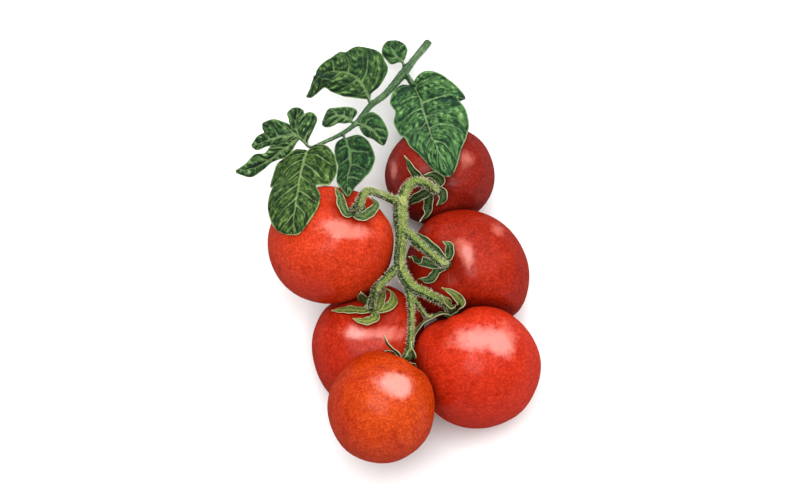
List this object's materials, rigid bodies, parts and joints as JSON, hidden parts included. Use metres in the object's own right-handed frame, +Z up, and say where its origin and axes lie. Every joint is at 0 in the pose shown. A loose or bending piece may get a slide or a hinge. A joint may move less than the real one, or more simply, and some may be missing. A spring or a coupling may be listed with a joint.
{
  "type": "truss of tomatoes",
  "caption": "Ripe tomatoes on their branching green stem, each with a curling calyx, and a leaf of lobed leaflets, picked and laid on its side on a table.",
  "frame": {"origin": "on the table under the middle of the bunch", "axes": "+Z up from the table, +Y along the bunch from the front tomato to the cut end of the leaf stalk, +X to the right as the bunch is seen from the front"},
  "size_m": [0.1524, 0.2404, 0.0836],
  "materials": {
    "tomato_skin": "gloss",
    "calyx": "matte",
    "stem": "satin",
    "leaf_stalk": "satin",
    "leaf": "matte"
  },
  "bodies": {
    "root": {"tomato_back_right": "tomato_skin", "tomato_left": "tomato_skin", "tomato_right": "tomato_skin", "tomato_low_left": "tomato_skin", "tomato_low_right": "tomato_skin", "tomato_front": "tomato_skin", "calyx_back_right": "calyx", "calyx_left": "calyx", "calyx_right": "calyx", "calyx_low_left": "calyx", "calyx_low_right": "calyx", "calyx_front": "calyx", "truss_stem": "stem", "leaf_stalk": "leaf_stalk", "leaflet_top": "leaf", "leaflet_large_right": "leaf", "leaflet_large_left": "leaf", "leaflet_middle_left": "leaf", "leaflet_middle_right": "leaf", "leaflet_lower": "leaf", "leaflet_lobed_side": "leaf", "leaflet_lobed_end": "leaf"}
  },
  "joints": []
}
